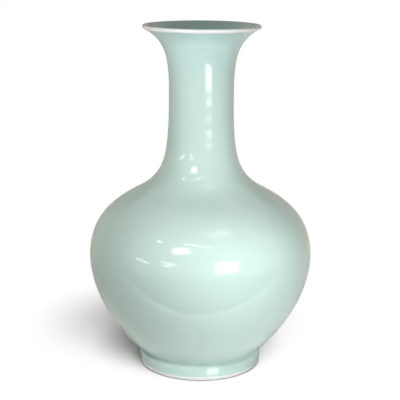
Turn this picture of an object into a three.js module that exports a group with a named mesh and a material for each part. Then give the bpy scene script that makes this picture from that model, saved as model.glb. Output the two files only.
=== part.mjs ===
// Globe vase: a glazed porcelain flower vase with a round belly, a tall neck, a flared mouth and a ring foot.
// It is built as a potter builds it. Five sections are shaped one by one, their rims are trimmed to a bevel,
// and each section is luted to the next with a layer of clay slip. A white lip finishes the mouth.
// Lengths are millimetres and angles degrees. +Z is up, and the origin is the centre of the foot on the table.

import * as THREE from 'three';

// Heights of the five sections, stacked from the table up
const FOOT_HEIGHT = 16.2; // table to the bowl that sits on the foot
const BOWL_HEIGHT = 102.4; // foot joint to the widest part of the belly
const DOME_HEIGHT = 72.8; // widest part of the belly to the root of the neck
const NECK_HEIGHT = 97.1; // root of the neck to its narrowest part
const MOUTH_HEIGHT = 67.1; // narrowest part of the neck to the top of the lip

// Outer diameters where one curve of the outline hands over to the next
const WAIST_DIAMETER = 123.8; // bottom edge of the bowl, in the groove above the foot
const BELLY_DIAMETER = 231; // widest part of the belly
const ROOT_DIAMETER = 118; // where the round belly turns into the hollow curve of the neck
const NECK_DIAMETER = 66.2; // narrowest part of the neck
const MOUTH_DIAMETER = 120.2; // across the lip

// Slope of the outer wall at the hand-overs that aren't upright, above the horizontal
const WAIST_SLOPE = 39.2;
const ROOT_SLOPE = 35.1;
const MOUTH_SLOPE = 33;

// Fullness of the outline: how far each curve holds its slope on leaving a hand-over, below it and above it
const WAIST_HOLD_ABOVE = 29.3;
const BELLY_HOLD_BELOW = 42.2;
const BELLY_HOLD_ABOVE = 49.3;
const ROOT_HOLD_BELOW = 19.4;
const ROOT_HOLD_ABOVE = 26.7;
const NECK_HOLD_BELOW = 67.4;
const NECK_HOLD_ABOVE = 48;
const MOUTH_HOLD_BELOW = 21.5;

// Walls
const WALL = 4.6; // belly and neck
const LIP_WALL = 3.6; // the mouth thins to this at the lip, which is rounded over
const FLOOR_THICKNESS = 8; // in the middle of the bowl
const FLOOR_RISE = 37; // length of bowl wall, up from the waist, that thickens into the floor
const FLOOR_HOLD_MIDDLE = 46; // fullness of the floor's curve in the middle
const FLOOR_HOLD_WALL = 24; // fullness of the floor's curve where it meets the even wall
const WHITE_LIP_DEPTH = 4; // how far the white lip reaches down the mouth

// Ring foot, measured from the waist that it carries
const FOOT_SEAT = 8; // width of the ring's flat top under the bowl, from the waist in to the bore
const FOOT_STEP = 1.3; // the ring's face stands out this far beyond the waist
const FOOT_TOP_ROUND = 2.2; // height of the rounding from that face into the groove
const FOOT_SWELL = 0.8; // the face swells towards a line this far outside its two ends
const FOOT_BARE_EDGE = 4.4; // height of the rounded bare edge under the glaze
const FOOT_BARE_INSET = 2.4; // that edge draws in this far to the flat rim that stands on the table
const FOOT_BORE_CHAMFER = 1.2; // softened inner edge of the rim
const SPIGOT_DEPTH = 6.7; // the bowl's spigot reaches this far down into the ring, below its seat

// Luted joints
const SLIP = 0.8; // thickness of the slip layer
const BEVEL = 3.5; // the lower section's rim rises this far from its outer edge to its inner edge
const SLIP_BEAD = 0.9; // slip squeezed out inside stands this proud of the wall

// Facets
const AROUND = 60;
const STEPS_OUTSIDE = 9;
const STEPS_INSIDE = 6;
const STEPS_FLOOR = 4;
const STEPS_LIP = 6;
const STEPS_EDGE = 3;

// Finishes
const celadonGlaze = new THREE.MeshStandardMaterial({ color: 0xbdd8ce, roughness: 0.1, metalness: 0 });
const whiteGlaze = new THREE.MeshStandardMaterial({ color: 0xf4f7f2, roughness: 0.12, metalness: 0 });
const firedSlip = new THREE.MeshStandardMaterial({ color: 0xe6e4dc, roughness: 0.75, metalness: 0 });

// Points and directions lie in the half plane of the outline: x is the distance from the axis, y is the height.
const point = (radius, height) => new THREE.Vector2(radius, height);

// A direction that leans outward from the axis and rises by the given slope, or leans inward if outward is -1.
function rising(slope, outward = 1) {
  const angle = THREE.MathUtils.degToRad(slope);
  return point(outward * Math.cos(angle), Math.sin(angle));
}

const UPRIGHT = point(0, 1);

// A point moved by a length along a direction.
const moved = (from, direction, length) => from.clone().addScaledVector(direction, length);

// The hole through the foot ring, which the spigot under the bowl fits
const FOOT_BORE_RADIUS = WAIST_DIAMETER / 2 - FOOT_SEAT;

// The height of the base under the bowl, and of the top of each section
const BASE_LEVEL = FOOT_HEIGHT - SPIGOT_DEPTH;
const BELLY_LEVEL = FOOT_HEIGHT + BOWL_HEIGHT;
const ROOT_LEVEL = BELLY_LEVEL + DOME_HEIGHT;
const NECK_LEVEL = ROOT_LEVEL + NECK_HEIGHT;
const LIP_LEVEL = NECK_LEVEL + MOUTH_HEIGHT;

// The outer face of the mouth ends where the round of the lip begins.
function lipStart() {
  const slope = rising(MOUTH_SLOPE);
  const round = LIP_WALL / 2;
  const centre = point(MOUTH_DIAMETER / 2 - round, LIP_LEVEL - round);
  return centre.add(point(slope.y, -slope.x).multiplyScalar(round));
}

// The outline's hand-overs from the foot to the lip: where they are and which way the wall runs there.
const waist = { at: point(WAIST_DIAMETER / 2, FOOT_HEIGHT), along: rising(WAIST_SLOPE) };
const belly = { at: point(BELLY_DIAMETER / 2, BELLY_LEVEL), along: UPRIGHT };
const root = { at: point(ROOT_DIAMETER / 2, ROOT_LEVEL), along: rising(ROOT_SLOPE, -1) };
const throat = { at: point(NECK_DIAMETER / 2, NECK_LEVEL), along: UPRIGHT };
const mouth = { at: lipStart(), along: rising(MOUTH_SLOPE) };

// One smooth stretch of the outline between two hand-overs.
function stretch(low, holdAbove, high, holdBelow) {
  return new THREE.CubicBezierCurve(
    low.at,
    moved(low.at, low.along, holdAbove),
    moved(high.at, high.along, -holdBelow),
    high.at,
  );
}

const outline = new THREE.CurvePath();
outline.add(stretch(waist, WAIST_HOLD_ABOVE, belly, BELLY_HOLD_BELOW));
outline.add(stretch(belly, BELLY_HOLD_ABOVE, root, ROOT_HOLD_BELOW));
outline.add(stretch(root, ROOT_HOLD_ABOVE, throat, NECK_HOLD_BELOW));
outline.add(stretch(throat, NECK_HOLD_ABOVE, mouth, MOUTH_HOLD_BELOW));

// Lengths along the outer face, from the waist, at which the sections end
const [BELLY_SEAM, ROOT_SEAM, NECK_SEAM, OUTLINE_END] = outline.getCurveLengths();

// Wall thickness at a length along the outer face. It is even up to the neck joint and thins from there to the lip.
function thickness(along) {
  const share = THREE.MathUtils.clamp((along - NECK_SEAM) / (OUTLINE_END - NECK_SEAM), 0, 1);
  return THREE.MathUtils.lerp(WALL, LIP_WALL, share);
}

// The direction in which the wall rises, and the direction out of its outer face.
function wallDirections(along) {
  const rise = outline.getTangent(along / OUTLINE_END);
  return { rise, out: point(rise.y, -rise.x) };
}

// A point of the wall: a length along the outer face, and a depth below it.
function inWall(along, depth) {
  return moved(outline.getPoint(along / OUTLINE_END), wallDirections(along).out, -depth);
}

const onOutside = (along) => inWall(along, 0);
const onInside = (along) => inWall(along, thickness(along));

// Evenly spaced points from one length along the wall to another, on the face that place gives.
function wallFace(place, from, to, steps) {
  return Array.from({ length: steps + 1 }, (_, i) => place(THREE.MathUtils.lerp(from, to, i / steps)));
}

// A section's wall between two joints. The rim at each end is bevelled, higher inside than outside.
function sectionWall(lowSeam, highSeam) {
  const foot = lowSeam + SLIP;
  return [
    ...wallFace(onOutside, foot, highSeam, STEPS_OUTSIDE),
    ...wallFace(onInside, highSeam + BEVEL, foot + BEVEL, STEPS_INSIDE),
  ];
}

// The slip between two bevelled rims, with the low ridge that it leaves on the inside wall.
function slipLayer(seam) {
  const [low, high] = [seam + BEVEL, seam + BEVEL + SLIP];
  const ridge = (along) => inWall(along, thickness(along) + SLIP_BEAD);
  const shoulder = SLIP / 4;
  return [
    onOutside(seam),
    onOutside(seam + SLIP),
    onInside(high),
    ridge(high - shoulder),
    ridge(low + shoulder),
    onInside(low),
  ];
}

// The bowl: the lower half of the belly with its floor, and the spigot under it that fits the foot ring.
function bowlOutline() {
  const wallTop = onInside(FLOOR_RISE);
  const floorMiddle = point(0, BASE_LEVEL + FLOOR_THICKNESS);
  const floor = new THREE.CubicBezierCurve(
    wallTop,
    moved(wallTop, wallDirections(FLOOR_RISE).rise, -FLOOR_HOLD_WALL),
    moved(floorMiddle, point(1, 0), FLOOR_HOLD_MIDDLE),
    floorMiddle,
  );
  const spigot = FOOT_BORE_RADIUS - SLIP;
  return [
    point(0, BASE_LEVEL),
    point(spigot, BASE_LEVEL),
    point(spigot, FOOT_HEIGHT),
    ...wallFace(onOutside, 0, BELLY_SEAM, STEPS_OUTSIDE),
    ...wallFace(onInside, BELLY_SEAM + BEVEL, FLOOR_RISE, STEPS_INSIDE),
    ...floor.getPoints(STEPS_FLOOR).slice(1),
  ];
}

// The slip between the foot ring and the bowl: a flat layer on the ring and a sleeve round the spigot.
function footSlip() {
  const [bore, ringTop] = [FOOT_BORE_RADIUS, FOOT_HEIGHT - SLIP];
  return [
    point(bore - SLIP, BASE_LEVEL),
    point(bore, BASE_LEVEL),
    point(bore, ringTop),
    point(WAIST_DIAMETER / 2, ringTop),
    waist.at,
    point(bore - SLIP, FOOT_HEIGHT),
  ];
}

// The ring foot: a flat rim to stand on, a rounded bare edge, a gently swelling face and a rounded top edge.
function footOutline() {
  const wide = WAIST_DIAMETER / 2 + FOOT_STEP;
  const rim = wide - FOOT_BARE_INSET;
  const ringTop = FOOT_HEIGHT - SLIP;
  const faceTop = ringTop - FOOT_TOP_ROUND;
  const bareEdge = new THREE.QuadraticBezierCurve(point(rim, 0), point(wide, 0), point(wide, FOOT_BARE_EDGE));
  const face = new THREE.QuadraticBezierCurve(
    point(wide, FOOT_BARE_EDGE),
    point(wide + FOOT_SWELL, (FOOT_BARE_EDGE + faceTop) / 2),
    point(wide, faceTop),
  );
  const topRound = new THREE.QuadraticBezierCurve(
    point(wide, faceTop),
    point(wide, ringTop),
    point(WAIST_DIAMETER / 2, ringTop),
  );
  const outside = [bareEdge, face, topRound].flatMap((curve) => curve.getPoints(STEPS_EDGE).slice(1));
  return [
    point(FOOT_BORE_RADIUS + FOOT_BORE_CHAMFER, 0),
    point(rim, 0),
    ...outside,
    point(FOOT_BORE_RADIUS, ringTop),
    point(FOOT_BORE_RADIUS, FOOT_BORE_CHAMFER),
  ];
}

// The white lip: the last of the mouth's wall, rounded over from its outer face to its inner face.
function lipOutline() {
  const start = OUTLINE_END - WHITE_LIP_DEPTH;
  const { rise, out } = wallDirections(OUTLINE_END);
  const round = LIP_WALL / 2;
  const centre = inWall(OUTLINE_END, round);
  const roundOver = Array.from({ length: STEPS_LIP + 1 }, (_, i) => {
    const turn = (Math.PI * i) / STEPS_LIP;
    return moved(moved(centre, out, round * Math.cos(turn)), rise, round * Math.sin(turn));
  });
  return [onInside(start), onOutside(start), ...roundOver];
}

// The flared mouth, from the neck joint to the white lip. Its upper rim is trimmed square to the wall.
function mouthOutline() {
  const [foot, top] = [NECK_SEAM + SLIP, OUTLINE_END - WHITE_LIP_DEPTH];
  return [
    ...wallFace(onOutside, foot, top, STEPS_OUTSIDE),
    ...wallFace(onInside, top, foot + BEVEL, STEPS_INSIDE),
  ];
}

// A solid of revolution. An outline that doesn't end on the axis is closed to make a ring.
function turned(name, points, material) {
  const onAxis = points[0].x === 0;
  const closed = onAxis ? points : [...points, points[0]];
  const mesh = new THREE.Mesh(new THREE.LatheGeometry(closed, AROUND), material);
  mesh.name = name;
  return mesh;
}

// The wheel turns about its own Y axis, so the finished vase is tipped up to stand along Z.
const wheel = new THREE.Group();
wheel.rotation.x = Math.PI / 2;
wheel.add(
  turned('foot_ring', footOutline(), celadonGlaze),
  turned('foot_luting', footSlip(), firedSlip),
  turned('lower_belly', bowlOutline(), celadonGlaze),
  turned('belly_luting', slipLayer(BELLY_SEAM), firedSlip),
  turned('upper_belly', sectionWall(BELLY_SEAM, ROOT_SEAM), celadonGlaze),
  turned('shoulder_luting', slipLayer(ROOT_SEAM), firedSlip),
  turned('neck', sectionWall(ROOT_SEAM, NECK_SEAM), celadonGlaze),
  turned('neck_luting', slipLayer(NECK_SEAM), firedSlip),
  turned('flared_mouth', mouthOutline(), celadonGlaze),
  turned('white_lip', lipOutline(), whiteGlaze),
);

const vase = new THREE.Group();
vase.name = 'globe_vase';
vase.add(wheel);

export default vase;
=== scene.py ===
# %% [markdown]
# Celadon globe vase
#
# A porcelain vase like this is thrown on a wheel in sections, luted together with clay slip,
# dipped in a pale blue-green glaze and fired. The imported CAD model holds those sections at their
# real size. This lesson gives each one a smooth turned shape and its glaze, and sets up a plain
# studio. Lengths are metres and angles are degrees.

# %% Load the frame
from bisect import bisect_left
from math import atan2, cos, pi, radians, sin

import bpy
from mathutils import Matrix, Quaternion, Vector


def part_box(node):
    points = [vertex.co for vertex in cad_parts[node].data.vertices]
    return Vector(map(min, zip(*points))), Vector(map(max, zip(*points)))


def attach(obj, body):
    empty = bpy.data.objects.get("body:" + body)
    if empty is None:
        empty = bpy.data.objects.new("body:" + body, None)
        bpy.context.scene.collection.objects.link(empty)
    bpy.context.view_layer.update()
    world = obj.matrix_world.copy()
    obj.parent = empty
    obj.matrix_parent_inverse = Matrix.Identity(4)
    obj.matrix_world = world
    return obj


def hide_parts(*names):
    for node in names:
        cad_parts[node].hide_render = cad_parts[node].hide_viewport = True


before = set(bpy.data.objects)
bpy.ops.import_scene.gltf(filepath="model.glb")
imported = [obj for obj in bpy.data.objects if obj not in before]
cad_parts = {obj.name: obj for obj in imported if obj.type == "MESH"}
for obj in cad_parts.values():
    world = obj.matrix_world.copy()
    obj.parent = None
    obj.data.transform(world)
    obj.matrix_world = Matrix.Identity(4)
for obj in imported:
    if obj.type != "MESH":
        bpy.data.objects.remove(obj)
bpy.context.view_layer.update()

# %% [markdown]
# The outline
#
# The outer face runs in one flowing line from the groove above the foot to the lip. It could be
# traced as a long row of points, but four smooth curves need only the places where one hands over
# to the next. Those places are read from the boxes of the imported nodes, so the dressed vase has the
# size of the CAD model. Points here are (radius, height).

# %% Hand-overs of the outline
UPRIGHT = Vector((0, 1))
WAIST_SLOPE = 39.2
ROOT_SLOPE = 35.1
MOUTH_SLOPE = 27.2
LIP_WALL = 0.0036
LIP_ROUND = LIP_WALL / 2


def rising(slope, outward=1):
    """A direction that rises by a slope away from the axis, or towards it if outward is -1."""
    return Vector((outward * cos(radians(slope)), sin(radians(slope))))


foot_joint_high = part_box("foot_luting")[1]
belly_joint_low, belly_joint_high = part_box("belly_luting")
throat_joint_low, throat_joint_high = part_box("neck_luting")
lip_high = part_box("white_lip")[1]

waist = Vector((foot_joint_high.x, foot_joint_high.z))
belly = Vector((belly_joint_high.x, belly_joint_low.z))
root = Vector((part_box("shoulder_luting")[1].x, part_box("upper_belly")[1].z))
throat = Vector((throat_joint_high.x, throat_joint_low.z))
waist_rise = rising(WAIST_SLOPE)
root_rise = rising(ROOT_SLOPE, outward=-1)
mouth_rise = rising(MOUTH_SLOPE)
lip_out = Vector((mouth_rise.y, -mouth_rise.x))
lip_centre = Vector((lip_high.x - LIP_ROUND, lip_high.z - LIP_ROUND))
mouth = lip_centre + LIP_ROUND * lip_out
hand_overs = {"waist": waist, "belly": belly, "root": root, "throat": throat, "mouth": mouth}
for name, place in hand_overs.items():
    print(f"{name}: radius {place.x * 1000:.1f} mm, height {place.y * 1000:.1f} mm")


# %% Four smooth curves between them
def stretch(low, low_rise, high, high_rise, hold_above, hold_below):
    """Control points of a curve that holds the slope of the wall for a while at each end."""
    return (low, low + low_rise * hold_above, high - high_rise * hold_below, high)


outline = (
    stretch(waist, waist_rise, belly, UPRIGHT, hold_above=0.0293, hold_below=0.0422),
    stretch(belly, UPRIGHT, root, root_rise, hold_above=0.0493, hold_below=0.0194),
    stretch(root, root_rise, throat, UPRIGHT, hold_above=0.0267, hold_below=0.0648),
    stretch(throat, UPRIGHT, mouth, mouth_rise, hold_above=0.0354, hold_below=0.0254),
)


def curve_point(controls, t):
    """The point at a share t of a cubic curve."""
    a, b, c, d = controls
    s = 1 - t
    return a * s**3 + b * (3 * s * s * t) + c * (3 * s * t * t) + d * t**3


def curve_direction(controls, t):
    """The direction in which the curve runs there."""
    a, b, c, d = controls
    s = 1 - t
    return ((b - a) * (s * s) + (c - b) * (2 * s * t) + (d - c) * (t * t)).normalized()


print(f"The outline has {len(outline)} curves")

# %% Lengths along the outer face
LENGTH_STEPS = 400


def lengths_along(controls):
    """Lengths from the start of a curve to evenly spaced shares of it."""
    points = [curve_point(controls, i / LENGTH_STEPS) for i in range(LENGTH_STEPS + 1)]
    lengths = [0.0]
    for before, after in zip(points, points[1:]):
        lengths.append(lengths[-1] + (after - before).length)
    return lengths


curve_lengths = [lengths_along(controls) for controls in outline]
seams = [0.0]
for lengths in curve_lengths:
    seams.append(seams[-1] + lengths[-1])
WAIST_SEAM, BELLY_SEAM, ROOT_SEAM, THROAT_SEAM, OUTLINE_END = seams
print("Seams along the outer face:", [round(seam, 4) for seam in seams])


def on_outline(along):
    """The point of the outer face at a length along it, and the way the wall rises there."""
    curve = min(max(bisect_left(seams, along) - 1, 0), len(outline) - 1)
    lengths = curve_lengths[curve]
    left = min(max(along - seams[curve], 0.0), lengths[-1])
    step = min(max(bisect_left(lengths, left) - 1, 0), LENGTH_STEPS - 1)
    share = (left - lengths[step]) / (lengths[step + 1] - lengths[step])
    t = (step + share) / LENGTH_STEPS
    return curve_point(outline[curve], t), curve_direction(outline[curve], t)


# %% [markdown]
# The wall
#
# Porcelain this size has an even wall of about 5 mm that thins towards the lip. The inner face is
# the outer face moved inward, square to the wall, which keeps the wall even where the outline
# bends. The rings of each section crowd together at its two ends: there the faces lean almost
# exactly as the outline does, so that neighbouring sections reflect the light as one surface and no
# line shows at the joint.

# %% Points in the wall
WALL = 0.0046


def thickness(along):
    """Even up to the neck joint, then thinning to the lip."""
    share = min(max((along - THROAT_SEAM) / (OUTLINE_END - THROAT_SEAM), 0.0), 1.0)
    return WALL + (LIP_WALL - WALL) * share


def in_wall(along, depth):
    """A point at a length along the outer face and a depth below it."""
    point, upward = on_outline(along)
    return point - depth * Vector((upward.y, -upward.x))


def on_outside(along):
    return in_wall(along, 0)


def on_inside(along):
    return in_wall(along, thickness(along))


def crowded(first, last, steps):
    """Numbers from first to last that lie closer together at both ends."""
    return [first + (last - first) * (1 - cos(pi * i / steps)) / 2 for i in range(steps + 1)]


def wall_face(place, first, last, steps):
    """Points along one face of the wall."""
    return [place(along) for along in crowded(first, last, steps)]


print(f"Wall: {thickness(0) * 1000:.1f} mm, at the lip {thickness(OUTLINE_END) * 1000:.1f} mm")

# %% [markdown]
# Turning a piece
#
# A potter forms the clay against a profile while the wheel turns. Blender's Spin does the same. A
# plane is merged to one vertex, the vertex is extruded from point to point of the half outline, and
# Spin carries that line round the axis. Spin leaves the seam and the pole doubled and may turn the
# faces inward, so doubles are merged first and the normals recalculated after that.

# %% A helper that turns a half outline into a solid
AROUND = 192
MERGE_DISTANCE = 1e-6
EDGE_ANGLE = 38


def turn(name, points):
    """A closed solid of revolution from a half outline of (radius, height) points."""
    closed = points if points[0].x == 0 else [*points, points[0]]
    places = [Vector((point.x, 0, point.y)) for point in closed]
    bpy.ops.object.select_all(action="DESELECT")
    bpy.ops.mesh.primitive_plane_add(size=WALL)
    piece = bpy.context.object
    piece.name = name
    piece.data.name = name
    bpy.ops.object.mode_set(mode="EDIT")
    bpy.ops.mesh.merge(type="CENTER")
    bpy.ops.transform.translate(value=places[0])
    for before, after in zip(places, places[1:]):
        bpy.ops.mesh.extrude_region_move(TRANSFORM_OT_translate={"value": after - before})
    bpy.ops.mesh.select_all(action="SELECT")
    bpy.ops.mesh.spin(steps=AROUND, angle=2 * pi, center=(0, 0, 0), axis=(0, 0, 1))
    bpy.ops.mesh.select_all(action="SELECT")
    bpy.ops.mesh.remove_doubles(threshold=MERGE_DISTANCE)
    bpy.ops.mesh.normals_make_consistent(inside=False)
    bpy.ops.object.mode_set(mode="OBJECT")
    bpy.ops.object.shade_smooth_by_angle(angle=radians(EDGE_ANGLE))
    print(f"{name}: {len(points)} outline points, {len(piece.data.polygons)} faces")
    return piece


# %% [markdown]
# The bowl
#
# The lower half of the belly carries the floor of the vase and a short spigot underneath that fits
# the foot ring. Its rim is trimmed to a bevel, higher inside than outside, so that the upper half
# sits in place. The floor could be a flat disc, but in a thrown bowl the wall runs down into it, so
# it is one more curve from the wall to the middle.

# %% Turn the bowl
STEPS_OUTSIDE = 48
STEPS_INSIDE = 32
STEPS_FLOOR = 20
BEVEL = 0.0035
FLOOR_THICKNESS = 0.008
FLOOR_RISE = 0.037
FLOOR_HOLD_MIDDLE = 0.046
FLOOR_HOLD_WALL = 0.024
FOOT_SEAT = 0.008

base_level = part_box("lower_belly")[0].z
ring_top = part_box("foot_ring")[1].z
SLIP = waist.y - ring_top
bore_radius = waist.x - FOOT_SEAT
spigot_radius = bore_radius - SLIP

wall_top = in_wall(FLOOR_RISE, WALL)
wall_top_rise = on_outline(FLOOR_RISE)[1]
floor_middle = Vector((0, base_level + FLOOR_THICKNESS))
floor_curve = (
    wall_top,
    wall_top - wall_top_rise * FLOOR_HOLD_WALL,
    floor_middle + Vector((FLOOR_HOLD_MIDDLE, 0)),
    floor_middle,
)
bowl = turn(
    "bowl",
    [
        Vector((0, base_level)),
        Vector((spigot_radius, base_level)),
        Vector((spigot_radius, waist.y)),
        *wall_face(on_outside, WAIST_SEAM, BELLY_SEAM, STEPS_OUTSIDE),
        *wall_face(on_inside, BELLY_SEAM + BEVEL, FLOOR_RISE, STEPS_INSIDE),
        *[curve_point(floor_curve, i / STEPS_FLOOR) for i in range(1, STEPS_FLOOR + 1)],
    ],
)

# %% [markdown]
# The dome, the neck and the mouth
#
# The other three sections are plain walls between two joints. Outside, each starts exactly where
# the one below ends. Deeper in the wall its rim stands off, which leaves a wedge for the slip. They
# could be cut from one turned wall, but turning each between its own joints gives clean rims with
# no cut to repair.

# %% Turn the dome, the neck and the mouth
JOINT_SKIN = 0.25  # share of the bevel, from the outside, where the two rims touch
WHITE_LIP_DEPTH = 0.004

lip_seam = OUTLINE_END - WHITE_LIP_DEPTH


def joint_apex(seam):
    """The point between two rims where the wedge of slip ends, just under the outer face."""
    return on_outside(seam).lerp(on_inside(seam + BEVEL), JOINT_SKIN)


def section(name, low_seam, high_seam, bevel=BEVEL):
    """A section's wall between two joints. The upper one is bevelled, or square at the lip."""
    return turn(
        name,
        [
            joint_apex(low_seam),
            *wall_face(on_outside, low_seam, high_seam, STEPS_OUTSIDE),
            *wall_face(on_inside, high_seam + bevel, low_seam + BEVEL + SLIP, STEPS_INSIDE),
        ],
    )


dome = section("dome", BELLY_SEAM, ROOT_SEAM)
neck_tube = section("neck_tube", ROOT_SEAM, THROAT_SEAM)
trumpet_mouth = section("trumpet_mouth", THROAT_SEAM, lip_seam, bevel=0)

# %% [markdown]
# The lip
#
# The mouth ends in a rounded lip. Glaze draws away from such an edge in the kiln, so it shows as a
# clean white line. That white is brighter than the bare porcelain: partly the white edge, partly a
# painted highlight along the lip. A bevel could round it. Half a circle in the outline, from the outer
# to the inner face, is exactly round, and as a ring of its own the lip can have its own glaze.

# %% Turn the lip
STEPS_LIP_WALL = 6
STEPS_LIP_ROUND = 20

lip_angles = [pi * i / STEPS_LIP_ROUND for i in range(1, STEPS_LIP_ROUND)]
lip_round = [lip_centre + LIP_ROUND * (lip_out * cos(a) + mouth_rise * sin(a)) for a in lip_angles]
lip_roll = turn(
    "lip_roll",
    [
        *wall_face(on_outside, lip_seam, OUTLINE_END, STEPS_LIP_WALL),
        *lip_round,
        *wall_face(on_inside, OUTLINE_END, lip_seam, STEPS_LIP_WALL),
    ],
)

# %% [markdown]
# The foot
#
# The ring foot stands on a flat rim. Its outer edge is rounded and left bare, its face is upright at
# the top and draws in a little towards the table, and its top edge is rounded over into the groove
# under the bowl. A Bevel modifier would round every edge alike. These differ, so each is drawn as a
# bend in the half outline.

# %% A helper for rounded edges
STEPS_EDGE = 10


def bend(start, corner, end):
    """Points of a simple bend from (radius, height) start to end that is drawn towards a corner."""
    a, b, c = Vector(start), Vector(corner), Vector(end)
    shares = [i / STEPS_EDGE for i in range(STEPS_EDGE + 1)]
    return [a * (1 - t) ** 2 + b * (2 * t * (1 - t)) + c * t * t for t in shares]


# %% Turn the foot ring
FOOT_STEP = 0.0024
FOOT_DRAW_IN = 0.0007
FOOT_TOP_ROUND = 0.0022
FOOT_BARE_EDGE = 0.0040
FOOT_BARE_INSET = 0.0024
FOOT_BORE_CHAMFER = 0.0012

foot_wide = waist.x + FOOT_STEP
foot_low = foot_wide - FOOT_DRAW_IN
foot_rim = foot_low - FOOT_BARE_INSET
face_top = ring_top - FOOT_TOP_ROUND

bore_edge = bend(
    (bore_radius, FOOT_BORE_CHAMFER),
    (bore_radius, 0),
    (bore_radius + FOOT_BORE_CHAMFER, 0),
)
bare_edge = bend((foot_rim, 0), (foot_low, 0), (foot_low, FOOT_BARE_EDGE))
foot_face = bend(
    (foot_low, FOOT_BARE_EDGE),
    (foot_wide, (FOOT_BARE_EDGE + face_top) / 2),
    (foot_wide, face_top),
)
top_round = bend((foot_wide, face_top), (foot_wide, ring_top), (waist.x, ring_top))
ring_foot = turn(
    "ring_foot",
    [*bore_edge, *bare_edge, *foot_face[1:], *top_round[1:], Vector((bore_radius, ring_top))],
)

# %% [markdown]
# The slip joints
#
# Slip is liquid clay. It fills the wedge between two rims, and what is squeezed out inside is wiped
# to a low smooth ridge. At the foot it lies under the bowl and round its spigot, and the glaze pools
# over it in both corners: in the groove outside and where the base meets the ring underneath. Plain
# rings would leave steps, so the ridges and the corners are smooth curves that end on the walls.

# %% Turn the slip joints of the wall
STEPS_RIDGE = 12
RIDGE_HEIGHT = 0.0009
RIDGE_SPREAD = 0.0016


def slip_joint(name, seam):
    """The wedge of slip in a bevelled joint, with its smoothed ridge on the inside wall."""
    low, high = seam + BEVEL, seam + BEVEL + SLIP
    first, last = high + RIDGE_SPREAD, low - RIDGE_SPREAD
    ridge = []
    for i in range(STEPS_RIDGE + 1):
        along = first + (last - first) * i / STEPS_RIDGE
        height = RIDGE_HEIGHT * (1 - cos(2 * pi * i / STEPS_RIDGE)) / 2
        ridge.append(in_wall(along, thickness(along) + height))
    return turn(name, [joint_apex(seam), on_inside(high), *ridge, on_inside(low)])


belly_slip = slip_joint("belly_slip", BELLY_SEAM)
shoulder_slip = slip_joint("shoulder_slip", ROOT_SEAM)
neck_slip = slip_joint("neck_slip", THROAT_SEAM)

# %% Turn the slip at the foot
GROOVE_FILLET = 0.0012
BASE_FILLET = 0.0025
groove_side = 3 * STEPS_EDGE // 4

base_corner = bend(
    (spigot_radius - BASE_FILLET, base_level),
    (bore_radius, base_level),
    (bore_radius, base_level - BASE_FILLET),
)
groove_bottom = (waist + Vector((waist.x, ring_top))) / 2
groove = bend(top_round[groove_side], groove_bottom, on_outside(GROOVE_FILLET))
foot_slip = turn(
    "foot_slip",
    [
        *base_corner,
        Vector((bore_radius, ring_top)),
        *reversed(top_round[groove_side + 1:]),
        *groove,
        waist,
        Vector((spigot_radius, waist.y)),
        Vector((spigot_radius, base_level)),
    ],
)

# %% [markdown]
# Every piece has its place
#
# Each turned piece stands for the CAD node of the same section, rides on the one body of this vase
# and takes its finish from a slot of the record. The CAD solids could be glazed instead, but they
# have fewer faces, and a glossy highlight shows every one of them.

# %% Tie the pieces to the frame
dressed = (
    (ring_foot, "foot_ring", "celadon_glaze"),
    (foot_slip, "foot_luting", "fired_slip"),
    (bowl, "lower_belly", "celadon_glaze"),
    (belly_slip, "belly_luting", "fired_slip"),
    (dome, "upper_belly", "celadon_glaze"),
    (shoulder_slip, "shoulder_luting", "fired_slip"),
    (neck_tube, "neck", "celadon_glaze"),
    (neck_slip, "neck_luting", "fired_slip"),
    (trumpet_mouth, "flared_mouth", "celadon_glaze"),
    (lip_roll, "white_lip", "white_glaze"),
)
for piece, node, slot in dressed:
    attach(piece, "root")
    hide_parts(node)
print(f"{len(dressed)} pieces stand for {len(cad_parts)} CAD nodes")


# %% [markdown]
# Building materials from nodes
#
# A material is a small graph of nodes. It could be drawn in the shader editor. Written down, it can
# be read and changed like the shapes, and a few helpers keep that short: an input is fed with a value
# or with another node's output, and a calculation or a smooth rise is one line.

# %% Helpers for node graphs
def feed(tree, socket, value):
    """Give an input a value, or join another node's output to it."""
    if isinstance(value, bpy.types.NodeSocket):
        tree.links.new(value, socket)
    else:
        socket.default_value = value


def add_node(tree, kind, inputs=(), **settings):
    """A new node with its settings, and values or outputs for the inputs named."""
    node = tree.nodes.new(kind)
    for name, value in settings.items():
        setattr(node, name, value)
    for name, value in dict(inputs).items():
        feed(tree, node.inputs[name], value)
    return node


def calculate(tree, operation, *values):
    """The result of a Math node."""
    node = add_node(tree, "ShaderNodeMath", dict(enumerate(values)), operation=operation)
    return node.outputs["Value"]


def rise(tree, value, limits):
    """A share that rises smoothly from 0 to 1 while a value goes from one limit to the other."""
    inputs = {"Value": value, "From Min": limits[0], "From Max": limits[1]}
    ramp = add_node(tree, "ShaderNodeMapRange", inputs, interpolation_type="SMOOTHSTEP")
    return ramp.outputs["Result"]


# %% [markdown]
# How glaze varies
#
# Fired glaze is glassy but never quite even. It has broad clouds where it is a little thicker, a few
# iron specks, a faint skin like orange peel, and up the neck a slow wave and a finer one, left by the
# hands on the wheel. The slow wave is only a quarter of a millimetre either way. It is seen because
# it breaks up the long highlight on the neck. All this could be painted on an image. Noise and waves
# in the space of the vase have no seam and run on from one section to the next. The glazes share
# them, so they are one node group with three outputs.

# %% A helper for node groups
def new_group(name, inputs, outputs):
    """An empty node group with float sockets, and its two ends."""
    tree = bpy.data.node_groups.new(name, "ShaderNodeTree")
    for socket, value in inputs.items():
        made = tree.interface.new_socket(socket, in_out="INPUT", socket_type="NodeSocketFloat")
        made.default_value = value
    for socket in outputs:
        tree.interface.new_socket(socket, in_out="OUTPUT", socket_type="NodeSocketFloat")
    return tree, tree.nodes.new("NodeGroupInput"), tree.nodes.new("NodeGroupOutput")


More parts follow.
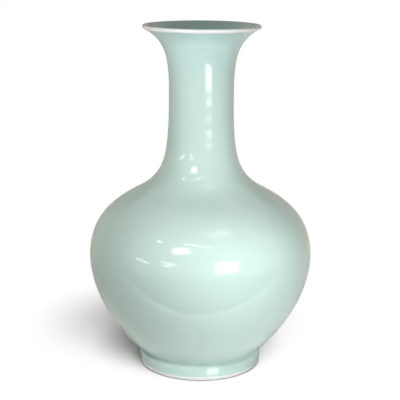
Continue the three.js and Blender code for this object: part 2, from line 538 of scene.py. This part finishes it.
# %% Clouds and specks
CLOUD_SCALE = 16
SPECK_SCALE = 95
SPECK_SIZE = 0.045
SPECK_SHARE = 0.93

glaze_variation, _, variation_out = new_group("glaze_variation", {}, ("Clouds", "Specks", "Skin"))
tree = glaze_variation
coordinates = add_node(tree, "ShaderNodeTexCoord").outputs["Object"]
clouds = add_node(
    tree,
    "ShaderNodeTexNoise",
    {"Vector": coordinates, "Scale": CLOUD_SCALE, "Detail": 4.0, "Roughness": 0.55},
)
feed(tree, variation_out.inputs["Clouds"], clouds.outputs["Fac"])

cells = add_node(tree, "ShaderNodeTexVoronoi", {"Vector": coordinates, "Scale": SPECK_SCALE})
spot = add_node(
    tree,
    "ShaderNodeMapRange",
    {"Value": cells.outputs["Distance"], "From Min": SPECK_SIZE, "From Max": SPECK_SIZE / 2},
)
chance = add_node(tree, "ShaderNodeSeparateColor", {"Color": cells.outputs["Color"]})
chosen = calculate(tree, "GREATER_THAN", chance.outputs["Red"], SPECK_SHARE)
specks = calculate(tree, "MULTIPLY", spot.outputs["Result"], chosen)
feed(tree, variation_out.inputs["Specks"], specks)
print(f"glaze_variation: {len(tree.nodes)} nodes for clouds and specks")

# %% Wheel rings and orange peel
RING_PITCH = 0.075
RING_WAIST = 0.284
RING_START = (0.215, 0.245)
RING_WANDER_SCALE = 22
RING_WANDER = 0.003
FINE_PITCH = 0.0155
FINE_PLACE = 0.282
FINE_SHARE = 0.10
PEEL_SCALE = 420
PEEL_SHARE = 0.012

height = add_node(tree, "ShaderNodeSeparateXYZ", {"Vector": coordinates}).outputs["Z"]
wander = add_node(
    tree, "ShaderNodeTexNoise", {"Vector": coordinates, "Scale": RING_WANDER_SCALE, "Detail": 1.0}
)
ring_height = calculate(tree, "MULTIPLY_ADD", wander.outputs["Fac"], RING_WANDER, height)
ring_rate = 2 * pi / RING_PITCH
ring_turns = calculate(tree, "MULTIPLY_ADD", ring_height, ring_rate, pi - ring_rate * RING_WAIST)
slow_wave = calculate(tree, "COSINE", ring_turns)
fine_rate = 2 * pi / FINE_PITCH
fine_turns = calculate(tree, "MULTIPLY_ADD", height, fine_rate, -fine_rate * FINE_PLACE)
fine_wave = calculate(tree, "SINE", fine_turns)
all_waves = calculate(tree, "MULTIPLY_ADD", fine_wave, FINE_SHARE, slow_wave)
rings = calculate(tree, "MULTIPLY", all_waves, rise(tree, height, RING_START))
peel = add_node(
    tree, "ShaderNodeTexNoise", {"Vector": coordinates, "Scale": PEEL_SCALE, "Detail": 0.0}
)
skin = calculate(tree, "MULTIPLY_ADD", peel.outputs["Fac"], PEEL_SHARE, rings)
feed(tree, variation_out.inputs["Skin"], skin)
print(f"glaze_variation: {len(tree.nodes)} nodes with rings and peel")

# %% [markdown]
# Edges of a finish
#
# The glaze ends above the bare foot, is deeper round the groove and turns white at the lip. Each edge
# lies at a height and wanders a little, as a wiped or dipped edge does. Faces with two finishes would
# meet in a hard line, so one small group makes a soft mask from two heights.

# %% The height mask group
EDGE_WANDER_SCALE = 60
NOISE_MIDDLE = 0.5

height_mask, mask_in, mask_out = new_group(
    "height_mask", {"Low": 0.0, "High": 0.01, "Wander": 0.0}, ("Mask",)
)
tree = height_mask
coordinates = add_node(tree, "ShaderNodeTexCoord").outputs["Object"]
height = add_node(tree, "ShaderNodeSeparateXYZ", {"Vector": coordinates}).outputs["Z"]
wander = add_node(
    tree, "ShaderNodeTexNoise", {"Vector": coordinates, "Scale": EDGE_WANDER_SCALE, "Detail": 2.0}
)
either_way = calculate(tree, "SUBTRACT", wander.outputs["Fac"], NOISE_MIDDLE)
edge_height = calculate(tree, "MULTIPLY_ADD", either_way, mask_in.outputs["Wander"], height)
mask = rise(tree, edge_height, (mask_in.outputs["Low"], mask_in.outputs["High"]))
feed(tree, mask_out.inputs["Mask"], mask)
print(f"height_mask: {len(tree.nodes)} nodes")


# %% [markdown]
# Putting a finish together
#
# Every glaze is one Principled shader. Its colour is a stack of mixes, each laying one effect over
# the last, and its bump is the faint skin of the glaze. Several shaders could be mixed instead, but
# one shader with masks on its sockets is simpler, and it can be baked for other programs.

# %% Helpers for a new finish
def new_finish(name):
    """A material with only a Principled shader, its node tree and that shader."""
    material = bpy.data.materials.new(name)
    material.use_nodes = True
    return material, material.node_tree, material.node_tree.nodes["Principled BSDF"]


def add_group(tree, group, inputs=()):
    return add_node(tree, "ShaderNodeGroup", inputs, node_tree=group)


def mask_above(tree, low, high, wander=0.0):
    """A mask that rises from 0 to 1 between two heights."""
    inputs = {"Low": low, "High": high, "Wander": wander}
    return add_group(tree, height_mask, inputs).outputs["Mask"]


# %% Helpers for its layers
SKIN_DEPTH = 0.00025


def lay_over(tree, mask, below, above):
    """A mix of two colours or outputs: below where the mask is 0, above where it is 1."""
    layers = [c if isinstance(c, bpy.types.NodeSocket) else (*c, 1.0) for c in (below, above)]
    mix = add_node(tree, "ShaderNodeMix", {0: mask, 6: layers[0], 7: layers[1]}, data_type="RGBA")
    return mix.outputs[2]


def spread(tree, value, low, high):
    """A value from 0 to 1 spread between two others, such as two roughnesses."""
    ramp = add_node(tree, "ShaderNodeMapRange", {"Value": value, "To Min": low, "To Max": high})
    return ramp.outputs["Result"]


def glaze(tree, shader, variation, colour, roughness, skin_strength):
    """Give a shader its colour, its roughness and the skin of the glaze."""
    skin = {"Height": variation.outputs["Skin"], "Strength": skin_strength, "Distance": SKIN_DEPTH}
    feed(tree, shader.inputs["Base Color"], colour)
    feed(tree, shader.inputs["Roughness"], roughness)
    feed(tree, shader.inputs["Normal"], add_node(tree, "ShaderNodeBump", skin).outputs["Normal"])


# %% [markdown]
# Celadon glaze
#
# The pale blue-green comes from a little iron in the glaze. Where the glaze lies thick it is deeper,
# as in the groove above the foot. The same deeper colour is carried on in a band over the groove as
# painted shade, where the belly turns under towards the foot. On the upper neck and the mouth the
# colour is painted lighter and bluer, as painted bluish reflected light. Below the wiped line the foot
# is bare white porcelain and matt. A layer of coloured glass over white clay would be closer to the
# real thing. Colours by thickness are quicker to render and look much the same, because this glaze is
# milky.

# %% Colours of the celadon
CELADON_THICK = (0.562, 0.742, 0.670)
CELADON_THIN = (0.610, 0.772, 0.705)
# Deeper colour of glaze pooled in the groove, also painted as shade in a band over it.
CELADON_POOL_AND_SHADE = (0.535, 0.690, 0.635)
# Lighter, bluer colours for the upper neck and mouth: painted bluish reflected light.
BLUE_REFLECTION_THICK = (0.562, 0.766, 0.716)
BLUE_REFLECTION_THIN = (0.608, 0.797, 0.753)
BARE_PORCELAIN = (0.860, 0.850, 0.820)
IRON_SPECK = (0.330, 0.360, 0.300)
SPECK_STRENGTH = 0.5
BLUE_REFLECTION_FROM = (0.300, 0.325)
SHADE_BAND = (0.010, 0.022)
POOL_SPREAD = 0.0035
WIPED_BLUR = 0.0006
EDGE_WANDER = 0.0012


def with_specks(tree, variation, colour):
    """A colour with the iron specks laid over it."""
    strength = calculate(tree, "MULTIPLY", variation.outputs["Specks"], SPECK_STRENGTH)
    return lay_over(tree, strength, colour, IRON_SPECK)


celadon, tree, shader = new_finish("celadon_glaze")
variation = add_group(tree, glaze_variation)
thin_share = variation.outputs["Clouds"]
# Painted shade: the deeper colour runs from the groove up into a band over it.
above_shade_band = mask_above(tree, waist.y + SHADE_BAND[0], waist.y + SHADE_BAND[1], EDGE_WANDER)
under_pool = mask_above(tree, waist.y, ring_top - POOL_SPREAD, EDGE_WANDER)
outside_pool_and_shade = calculate(tree, "MAXIMUM", above_shade_band, under_pool)
glazed = mask_above(tree, FOOT_BARE_EDGE - WIPED_BLUR, FOOT_BARE_EDGE + WIPED_BLUR, EDGE_WANDER)
colour = lay_over(tree, thin_share, CELADON_THICK, CELADON_THIN)
# Painted bluish reflected light on the upper neck and the mouth.
blue_reflection_colour = lay_over(tree, thin_share, BLUE_REFLECTION_THICK, BLUE_REFLECTION_THIN)
colour = lay_over(tree, mask_above(tree, *BLUE_REFLECTION_FROM, EDGE_WANDER), colour, blue_reflection_colour)
colour = lay_over(tree, outside_pool_and_shade, CELADON_POOL_AND_SHADE, colour)
colour = with_specks(tree, variation, colour)
colour = lay_over(tree, glazed, BARE_PORCELAIN, colour)
print(f"celadon_glaze: {len(tree.nodes)} nodes for its colour")

# %% Gloss of the celadon
GLAZE_ROUGHNESS = (0.045, 0.065)
BARE_ROUGHNESS = 0.45
SKIN_STRENGTH = 1.0

glaze_gloss = spread(tree, thin_share, *GLAZE_ROUGHNESS)
gloss = add_node(
    tree, "ShaderNodeMix", {0: glazed, 2: BARE_ROUGHNESS, 3: glaze_gloss}, data_type="FLOAT"
)
glaze(tree, shader, variation, colour, gloss.outputs[0], SKIN_STRENGTH)
print(f"celadon_glaze: {len(tree.nodes)} nodes with gloss and skin")

# %% [markdown]
# Glaze inside
#
# The inside is glazed by filling the vase and pouring it out, so the glaze lies thicker there and
# levels out smoother. Its deeper grey-green is painted shade, for the dim inside where little light
# falls. It could be one more mask in the celadon, but a finish of its own on the faces that look
# towards the axis is simpler, and it ends exactly where the inner wall does.

# %% Make the inside glaze
# Deeper colours of the inside: painted shade for the dim inside of the vase.
INSIDE_SHADE_THICK = (0.290, 0.490, 0.400)
INSIDE_SHADE_THIN = (0.315, 0.515, 0.425)
INSIDE_SKIN_STRENGTH = 0.2

shaded_inside_glaze, tree, shader = new_finish("shaded_inside_glaze")
variation = add_group(tree, glaze_variation)
thin_share = variation.outputs["Clouds"]
colour = lay_over(tree, thin_share, INSIDE_SHADE_THICK, INSIDE_SHADE_THIN)
colour = with_specks(tree, variation, colour)
gloss = spread(tree, thin_share, *GLAZE_ROUGHNESS)
glaze(tree, shader, variation, colour, gloss, INSIDE_SKIN_STRENGTH)
print(f"shaded_inside_glaze: {len(tree.nodes)} nodes")

# %% [markdown]
# White lip
#
# The white line covers the round of the lip and a few millimetres of the outer face; it is partly the
# white edge and partly a painted highlight. The inner face keeps the deeper inside colour, which is
# painted shade. The two could be split by faces, as on the walls, but here they meet in plain sight
# and need a soft edge. So a mask measures how far a point lies from the middle of the lip, square to
# the wall.

# %% Masks of the white line
LIP_INNER_EDGE = -0.00095
LIP_INNER_BLUR = 0.0008
LIP_LOWER_GAP = 0.0004
LIP_LOWER_BLUR = 0.0012
FLAT = (1, 1, 0)

white_lip, tree, shader = new_finish("white_lip_and_highlight_glaze")
coordinates = add_node(tree, "ShaderNodeTexCoord").outputs["Object"]
height = add_node(tree, "ShaderNodeSeparateXYZ", {"Vector": coordinates}).outputs["Z"]
flat = add_node(tree, "ShaderNodeVectorMath", {0: coordinates, 1: FLAT}, operation="MULTIPLY")
radius = add_node(tree, "ShaderNodeVectorMath", {0: flat.outputs["Vector"]}, operation="LENGTH")
from_middle = calculate(tree, "MULTIPLY_ADD", height, lip_out.y, -lip_centre.dot(lip_out))
across = calculate(tree, "MULTIPLY_ADD", radius.outputs["Value"], lip_out.x, from_middle)
inner_limits = (LIP_INNER_EDGE - LIP_INNER_BLUR, LIP_INNER_EDGE + LIP_INNER_BLUR)
outer_share = rise(tree, across, inner_limits)
white_from = on_outside(lip_seam).y + LIP_LOWER_GAP
above_edge = mask_above(tree, white_from, white_from + LIP_LOWER_BLUR, EDGE_WANDER)
# The white line: partly the white edge, partly a painted highlight.
whiteness_and_highlight = calculate(tree, "MULTIPLY", outer_share, above_edge)
print(f"White line from {white_from * 1000:.1f} mm up")

# %% Make the white lip glaze
# White of the lip, brighter than the bare porcelain: partly a painted highlight.
LIP_WHITE_AND_HIGHLIGHT = (0.975, 0.980, 0.965)
LIP_ROUGHNESS = (0.12, 0.18)

variation = add_group(tree, glaze_variation)
thin_share = variation.outputs["Clouds"]
# The outer lip below the white line carries the same painted bluish reflected light.
outer_colour = lay_over(tree, thin_share, BLUE_REFLECTION_THICK, BLUE_REFLECTION_THIN)
# The inner face of the lip takes the painted shade of the inside.
inner_colour = lay_over(tree, thin_share, INSIDE_SHADE_THICK, INSIDE_SHADE_THIN)
colour = lay_over(tree, outer_share, inner_colour, outer_colour)
colour = lay_over(tree, whiteness_and_highlight, colour, LIP_WHITE_AND_HIGHLIGHT)
gloss = spread(tree, thin_share, *LIP_ROUGHNESS)
glaze(tree, shader, variation, colour, gloss, INSIDE_SKIN_STRENGTH)
print(f"white_lip_and_highlight_glaze: {len(tree.nodes)} nodes")

# %% [markdown]
# Glazed slip
#
# The slip joints are under the glaze, so their ridges inside have the inside glaze. The filled groove
# at the foot has the celadon, which gathers in the corner and is a little deeper there than on the
# walls. It could be two finishes, but one mask by height tells the groove from the ridges.

# %% Make the glazed slip
glazed_slip, tree, shader = new_finish("glazed_slip")
variation = add_group(tree, glaze_variation)
thin_share = variation.outputs["Clouds"]
high_up = mask_above(tree, waist.y, waist.y + POOL_SPREAD)
# The slip ridges inside take the painted shade of the inside.
colour = lay_over(tree, thin_share, INSIDE_SHADE_THICK, INSIDE_SHADE_THIN)
colour = lay_over(tree, high_up, CELADON_POOL_AND_SHADE, colour)
gloss = spread(tree, thin_share, *GLAZE_ROUGHNESS)
glaze(tree, shader, variation, colour, gloss, SKIN_STRENGTH)
print(f"glazed_slip: {len(tree.nodes)} nodes")

# %% [markdown]
# Glazing the vase
#
# Each piece takes the finish of its slot. The hollow sections then get the inside glaze on the faces
# that look towards the axis, and the bowl on its floor. These could be picked by hand, but the
# direction of a face tells them apart at once.

# %% Glaze the pieces
finish_of_slot = {"celadon_glaze": celadon, "white_glaze": white_lip, "fired_slip": glazed_slip}
for piece, _, slot in dressed:
    piece.data.materials.clear()
    piece.data.materials.append(finish_of_slot[slot])
    print(f"{piece.name}: {finish_of_slot[slot].name}")

# %% Glaze the inside
LEVEL_FACE = 0.5


def looks_inward(face):
    """Whether a face looks towards the axis."""
    return face.normal.x * face.center.x + face.normal.y * face.center.y < 0


for piece in (bowl, dome, neck_tube, trumpet_mouth):
    piece.data.materials.append(shaded_inside_glaze)
    inner_faces = [face for face in piece.data.polygons if looks_inward(face)]
    if piece is bowl:
        inner_faces += [face for face in piece.data.polygons if face.normal.z > LEVEL_FACE]
    for face in inner_faces:
        face.material_index = 1
    print(f"{piece.name}: {len(inner_faces)} inner faces")


# %% [markdown]
# The studio
#
# The vase stands on a pale polished table against white. The table takes the shadow. To the camera it
# is a grey that deepens the shadow, darker still in a ring at the foot, and it fades to white round
# the vase, so only the soft shadow beside the foot and a thin line under it are left. That grey and
# that ring are painted shadow over the rendered one. In the glaze it is a bright table with an edge in
# front and a darker floor beyond, and it turns white only far away. More light would also whiten the
# table, but it would wash out the vase. So the white is in the material, which adds no scattered
# light.

# %% Helpers for the studio
def ray_share(tree, *kinds):
    """1 for rays of the kinds named, 0 for all others."""
    path = add_node(tree, "ShaderNodeLightPath")
    share = path.outputs[kinds[0]]
    for kind in kinds[1:]:
        share = calculate(tree, "MAXIMUM", share, path.outputs[kind])
    return share


def away_from(tree, coordinates, centre, limits):
    """A share that rises from 0 to 1 with the distance from a centre."""
    inputs = {0: coordinates, 1: centre}
    distance = add_node(tree, "ShaderNodeVectorMath", inputs, operation="DISTANCE")
    return rise(tree, distance.outputs["Value"], limits)


# %% Lay the table
TABLE_SIZE = 40.0
AXIS = (0, 0, 0)
TABLE_EDGE = -0.175
TABLE_COLOUR = (0.94, 0.94, 0.94)
FRONT_COLOUR = (0.07, 0.07, 0.07)
# Greys the camera sees on the table: painted shadow, darkest in a ring at the foot.
SHADOW_GREY_SEEN = (0.55, 0.55, 0.55)
CONTACT_SHADOW_SEEN = (0.15, 0.15, 0.15)
CONTACT_SHADOW_EDGE = (foot_rim, foot_rim + 0.0165)

bpy.ops.object.select_all(action="DESELECT")
bpy.ops.mesh.primitive_plane_add(size=TABLE_SIZE)
table = bpy.context.object
table.name = "table"

table_top, tree, shader = new_finish("table_top")
tree.nodes.remove(shader)
camera_rays = ray_share(tree, "Is Camera Ray")
place = add_node(tree, "ShaderNodeTexCoord").outputs["Object"]
depth = add_node(tree, "ShaderNodeSeparateXYZ", {"Vector": place}).outputs["Y"]
on_table = calculate(tree, "GREATER_THAN", depth, TABLE_EDGE)
colour = lay_over(tree, on_table, FRONT_COLOUR, TABLE_COLOUR)
off_contact_shadow = away_from(tree, place, AXIS, CONTACT_SHADOW_EDGE)
seen_shadow_colour = lay_over(tree, off_contact_shadow, CONTACT_SHADOW_SEEN, SHADOW_GREY_SEEN)
colour = lay_over(tree, camera_rays, colour, seen_shadow_colour)
matt = add_node(tree, "ShaderNodeBsdfDiffuse", {"Color": colour})
print(f"table_top: {len(tree.nodes)} nodes for its colour")

# %% [markdown]
# The table in the glaze
#
# Two small softboxes leave the table duller in the glaze than it is in the photograph, so there it
# also has a glow that nothing but the glaze sees. The glow is darker in the shadow of the vase, close
# to the foot and behind the vase, and brighter along the front edge. More lamps could do the same,
# but they would change the shading too. Near the foot the table is polished, so at a flat angle the
# glaze sees the vase and the lamps mirrored in it.

# %% Helpers for the glow
def product(tree, first, *others):
    """Several values multiplied."""
    for value in others:
        first = calculate(tree, "MULTIPLY", first, value)
    return first


def added(tree, first, second):
    """The sum of two shaders."""
    inputs = {0: first.outputs[0], 1: second.outputs[0]}
    return add_node(tree, "ShaderNodeAddShader", inputs)


# %% Let the table glow in the glaze
TABLE_GLOW = (0.453, 0.428, 0.387, 1)
EDGE_BAND = 0.040
EDGE_GAIN = 1.4
WIDE_SHADOW = ((-0.038, 0.120, 0.0), (0.0, 0.173))
CLOSE_SHADOW = ((-0.015, 0.0495, 0.0), (0.0477, 0.1155))
FOOT_SHADE = ((0.0, 0.012, 0.0), (0.066, 0.086))
BACK_LEFT = ((-0.28, 0.30, 0.0), (0.18, 0.36))
BACK_RIGHT = ((0.28, 0.30, 0.0), (0.18, 0.36))
BACK_LEFT_LEVEL = 0.2
BACK_RIGHT_LEVEL = 0.6

glossy_table = product(tree, ray_share(tree, "Is Glossy Ray"), on_table)
shadows = (WIDE_SHADOW, CLOSE_SHADOW)
open_table = product(tree, *[away_from(tree, place, *shadow) for shadow in shadows])
off_foot = away_from(tree, place, *FOOT_SHADE)
left_level = spread(tree, away_from(tree, place, *BACK_LEFT), BACK_LEFT_LEVEL, 1.0)
right_level = spread(tree, away_from(tree, place, *BACK_RIGHT), BACK_RIGHT_LEVEL, 1.0)
near_edge = rise(tree, depth, (TABLE_EDGE + EDGE_BAND, TABLE_EDGE))
edge_level = calculate(tree, "MULTIPLY_ADD", near_edge, EDGE_GAIN, 1.0)
strength = product(tree, glossy_table, open_table, off_foot, left_level, right_level, edge_level)
glow = add_node(tree, "ShaderNodeEmission", {"Color": TABLE_GLOW, "Strength": strength})
lit = added(tree, matt, glow)
print(f"table_top: {len(tree.nodes)} nodes with its glow")

# %% Polish the table near the foot
# Near the foot the polish mirrors less: painted shade in the mirrored table.
POLISH_SHADE_LEVEL = (0.40, 0.80)
POLISH_ROUGHNESS = 0.03
POLISH_ANGLE = (0.25, 0.55)
DULL_BEYOND = (0.135, 0.105)


def blended(tree, share, below, above):
    """A mix of two shaders: below where the share is 0, above where it is 1."""
    inputs = {0: share, 1: below.outputs[0], 2: above.outputs[0]}
    return add_node(tree, "ShaderNodeMixShader", inputs)


# Painted shade: the mirror is darker close to the foot.
shaded_polish_colour = spread(tree, off_foot, *POLISH_SHADE_LEVEL)
polish = add_node(
    tree, "ShaderNodeBsdfGlossy", {"Color": shaded_polish_colour, "Roughness": POLISH_ROUGHNESS}
)
facing = add_node(tree, "ShaderNodeLayerWeight").outputs["Facing"]
flat_angle = rise(tree, facing, POLISH_ANGLE)
near_foot = away_from(tree, place, AXIS, DULL_BEYOND)
polished_table = blended(tree, product(tree, glossy_table, flat_angle, near_foot), lit, polish)
print(f"table_top: {len(tree.nodes)} nodes with its polish")

# %% Fade the table to white
# The thin dark line round the foot is a painted contact shadow.
CONTACT_SHADOW_LINE = (foot_rim, foot_rim + 0.0045)
FAR_FADE = (0.6, 1.2)


def seen_directly(tree):
    """1 for what the camera sees, also mirrored or through glass, 0 for scattered light."""
    return ray_share(tree, "Is Camera Ray", "Is Glossy Ray", "Is Transmission Ray")


white = add_node(tree, "ShaderNodeEmission")
beside_foot = away_from(tree, place, AXIS, CONTACT_SHADOW_LINE)
cleared = product(tree, camera_rays, open_table, beside_foot)
far_away = product(tree, away_from(tree, place, AXIS, FAR_FADE), seen_directly(tree))
white_share = calculate(tree, "MAXIMUM", cleared, far_away)
faded_table = blended(tree, white_share, polished_table, white)
feed(tree, tree.nodes["Material Output"].inputs["Surface"], faded_table.outputs["Shader"])
table.data.materials.append(table_top)
print(f"table_top: {len(tree.nodes)} nodes in all")

# %% [markdown]
# The booth
#
# Glaze mirrors what stands round it, most of all along its edges. In an empty white room they would
# glow. Pale cloth walls at the sides and behind, with a little daylight coming through them, turn the
# edges a soft grey and fill the shaded sides. Black cards would also tame the glow, but they draw
# hard dark edges. Behind on the left less daylight comes through. The walls show in the glaze but not
# to the camera.

# %% Two cloths
CLOTH_COLOUR = (0.75, 0.75, 0.75, 1)
CLOTH_GLOW = (0.344, 0.312, 0.274, 1)
BRIGHT_SHARE = 1.0
DIM_SHARE = 0.55


def new_cloth(name, share):
    """Cloth with a share of the daylight that comes through it."""
    material, tree, shader = new_finish(name)
    tree.nodes.remove(shader)
    weave = add_node(tree, "ShaderNodeBsdfDiffuse", {"Color": CLOTH_COLOUR})
    daylight = add_node(tree, "ShaderNodeEmission", {"Color": CLOTH_GLOW, "Strength": share})
    surface = added(tree, weave, daylight).outputs["Shader"]
    feed(tree, tree.nodes["Material Output"].inputs["Surface"], surface)
    print(f"{name}: {share:.2f} of the daylight")
    return material


bright_cloth = new_cloth("bright_cloth", BRIGHT_SHARE)
dim_cloth = new_cloth("dim_cloth", DIM_SHARE)

# %% Hang the cloth walls
BOOTH_SIDE = 0.50
BOOTH_BACK = 0.60
BOOTH_HEIGHT = 0.62
LEFT_WALL_FRONT = -0.14
RIGHT_WALL_FRONT = -0.02
DIM_END = -0.08


def cloth_wall(name, cloth, start, end):
    """An upright wall of cloth between two points of the table."""
    bpy.ops.object.select_all(action="DESELECT")
    bpy.ops.mesh.primitive_plane_add(size=1)
    wall = bpy.context.object
    wall.name = name
    run = Vector(end) - Vector(start)
    middle = (Vector(start) + Vector(end)) / 2
    wall.location = (middle.x, middle.y, BOOTH_HEIGHT / 2)
    wall.rotation_euler = (radians(90), 0, atan2(run.y, run.x))
    wall.scale = (run.length, BOOTH_HEIGHT, 1)
    wall.visible_camera = False
    wall.data.materials.append(cloth)
    print(f"{name}: {run.length:.2f} m long")


cloth_wall("left_wall", bright_cloth, (-BOOTH_SIDE, LEFT_WALL_FRONT), (-BOOTH_SIDE, BOOTH_BACK))
cloth_wall("right_wall", bright_cloth, (BOOTH_SIDE, RIGHT_WALL_FRONT), (BOOTH_SIDE, BOOTH_BACK))
cloth_wall("back_wall_right", bright_cloth, (DIM_END, BOOTH_BACK), (BOOTH_SIDE, BOOTH_BACK))
cloth_wall("back_wall_left", dim_cloth, (-BOOTH_SIDE, BOOTH_BACK), (DIM_END, BOOTH_BACK))

# %% [markdown]
# Light
#
# Two small softboxes stand close to the vase, just out of the picture: one low on the right and one
# higher on the left. They give most of the shading. In the glaze they show as bright windows with
# soft edges. A photograph keeps those windows softer than a plain render would, so each is a lamp of
# its own that only the glaze sees: dimmer than the light it stands for, and fading towards its edges.

# %% A helper for softboxes
def softbox(name, place, yaw, tilt, width, height, power):
    """A lamp that faces the back, turned by yaw and tipped down by tilt, unseen by the camera."""
    turned = (radians(90 - tilt), 0, radians(yaw))
    bpy.ops.object.light_add(type="AREA", location=place, rotation=turned)
    lamp = bpy.context.object
    lamp.name = name
    lamp.data.shape = "RECTANGLE"
    lamp.data.size = width
    lamp.data.size_y = height
    lamp.data.energy = power
    lamp.visible_camera = False
    print(f"{name}: {power:.2f} W")
    return lamp


# %% Set up the softboxes
COOL_LIGHT = (0.974, 1.0, 1.026)

softbox_left = softbox(
    "softbox_left",
    place=(-0.165, -0.436, 0.442),
    yaw=-20,
    tilt=30,
    width=0.180,
    height=0.110,
    power=1.26,
)
softbox_right = softbox(
    "softbox_right",
    place=(0.160, -0.375, 0.1755),
    yaw=10,
    tilt=0,
    width=0.157,
    height=0.114,
    power=0.925,
)
softbox_right.data.color = COOL_LIGHT
for lamp in (softbox_left, softbox_right):
    lamp.visible_glossy = False

# %% Helpers for lamps in the glaze
WINDOW_EDGE = 0.050


def glaze_lamp(name, place, yaw, tilt, width, height, brightness):
    """A lamp that only the glaze sees. White paper in the room has a brightness of 1."""
    power = brightness * pi * width * height
    lamp = softbox(name, place, yaw, tilt, width, height, power)
    lamp.visible_diffuse = False
    return lamp


def soften(light):
    """Make a lamp fade over a band along its edges."""
    light.use_nodes = True
    tree = light.node_tree
    across = add_node(tree, "ShaderNodeNewGeometry").outputs["Parametric"]
    sides = add_node(tree, "ShaderNodeSeparateXYZ", {"Vector": across})
    shares = []
    for axis, length in (("X", light.size), ("Y", light.size_y)):
        far_side = calculate(tree, "SUBTRACT", 1.0, sides.outputs[axis])
        near_side = calculate(tree, "MINIMUM", sides.outputs[axis], far_side)
        shares.append(rise(tree, near_side, (0.0, WINDOW_EDGE / length)))
    feed(tree, tree.nodes["Emission"].inputs["Strength"], product(tree, *shares))


# %% Show the softboxes in the glaze
window_left = glaze_lamp(
    "window_left",
    place=(-0.197, -0.517, 0.500),
    yaw=-8,
    tilt=40,
    width=0.226,
    height=0.166,
    brightness=10.0,
)
window_right = glaze_lamp(
    "window_right",
    place=(0.169, -0.375, 0.177),
    yaw=10,
    tilt=26,
    width=0.197,
    height=0.162,
    brightness=9.5,
)
for window in (window_left, window_right):
    soften(window.data)

# %% [markdown]
# Far lights
#
# The room in front of the booth has a few lights of its own. They are too far to light the vase, but
# the glaze shows them as small glints: three short bars on the left, a dot above them, a thin tube
# high in front and a pale ceiling patch. They could be modelled with the room. A glint hardly shows
# how far its light is, so here each is a plain lamp, placed by its direction from the vase.

# %% Hang the far lights
FAR_DISTANCE = 3.0
ROOM_MIDDLE = Vector((0, 0, 0.15))


def far_light(name, azimuth, elevation, roll, width, height, brightness):
    """A small light in a direction seen from the vase. Widths and heights are in degrees."""
    level = cos(radians(elevation))
    toward = Vector((
        sin(radians(azimuth)) * level,
        -cos(radians(azimuth)) * level,
        sin(radians(elevation)),
    ))
    place = ROOM_MIDDLE + FAR_DISTANCE * toward
    size = (FAR_DISTANCE * radians(width), FAR_DISTANCE * radians(height))
    lamp = glaze_lamp(name, place, 0, 0, *size, brightness)  # turned towards the vase below
    lamp.rotation_mode = "QUATERNION"
    rolled = Quaternion((0, 0, 1), radians(roll))
    lamp.rotation_quaternion = toward.to_track_quat("Z", "Y") @ rolled


far_light("bar_outer", -60.2, 8.8, roll=-9, width=16.0, height=2.2, brightness=9.0)
far_light("bar_upper", -31.5, 12.5, roll=-8, width=14.5, height=1.7, brightness=10.5)
far_light("bar_lower", -32.7, 8.6, roll=-2, width=8.0, height=1.6, brightness=11.0)
far_light("dot_high", -56.0, 45.6, roll=0, width=5.2, height=2.8, brightness=14.0)
far_light("tube_high", -5.0, 48.5, roll=-14, width=27.0, height=1.2, brightness=13.0)
far_light("ceiling_patch", 38.0, 68.5, roll=0, width=20.0, height=11.0, brightness=2.2)

# %% [markdown]
# The room
#
# The room itself is almost dark, so the softboxes and the cloth shape the vase. To the camera and in
# the glaze it is white, like the background of the photograph. A bright room could do both, but its
# light from all sides would flatten the form.

# %% Light the room
ROOM_LEVEL = 0.03
WHITE = (1, 1, 1, 1)

world = bpy.data.worlds.new("studio")
bpy.context.scene.world = world
world.use_nodes = True
tree = world.node_tree
tree.nodes.remove(tree.nodes["Background"])
room = add_node(tree, "ShaderNodeBackground", {"Color": WHITE, "Strength": ROOM_LEVEL})
backdrop = add_node(tree, "ShaderNodeBackground", {"Color": WHITE, "Strength": 1.0})
studio = blended(tree, seen_directly(tree), room, backdrop)
feed(tree, tree.nodes["World Output"].inputs["Surface"], studio.outputs["Shader"])
print(f"Room: {ROOM_LEVEL} of white, seen as white")

# %% [markdown]
# The camera
#
# The camera looks slightly down from a little over a metre, as in the photograph. It could be placed
# by eye. Fitting its place, lens and tilt to the outline in the picture brings the foot, the belly
# and the lip in line at once.

# %% Place the camera
CAMERA_PLACE = (0.0, -1.0784, 0.4369)
CAMERA_PITCH = -13.659
CAMERA_ROLL = 0.411
SENSOR_WIDTH = 36.0
FOCAL_SHARE = 2.66475  # focal length as a share of the picture's width
SHIFT = -0.00175

bpy.ops.object.camera_add(location=CAMERA_PLACE)
camera = bpy.context.object
camera.rotation_mode = "ZYX"
camera.rotation_euler = (radians(90 + CAMERA_PITCH), 0, radians(CAMERA_ROLL))
camera.data.sensor_width = SENSOR_WIDTH
camera.data.lens = FOCAL_SHARE * SENSOR_WIDTH
camera.data.shift_x = SHIFT
bpy.context.scene.camera = camera
bpy.context.scene.view_settings.view_transform = "Standard"
print(f"Lens: {camera.data.lens:.1f} mm")
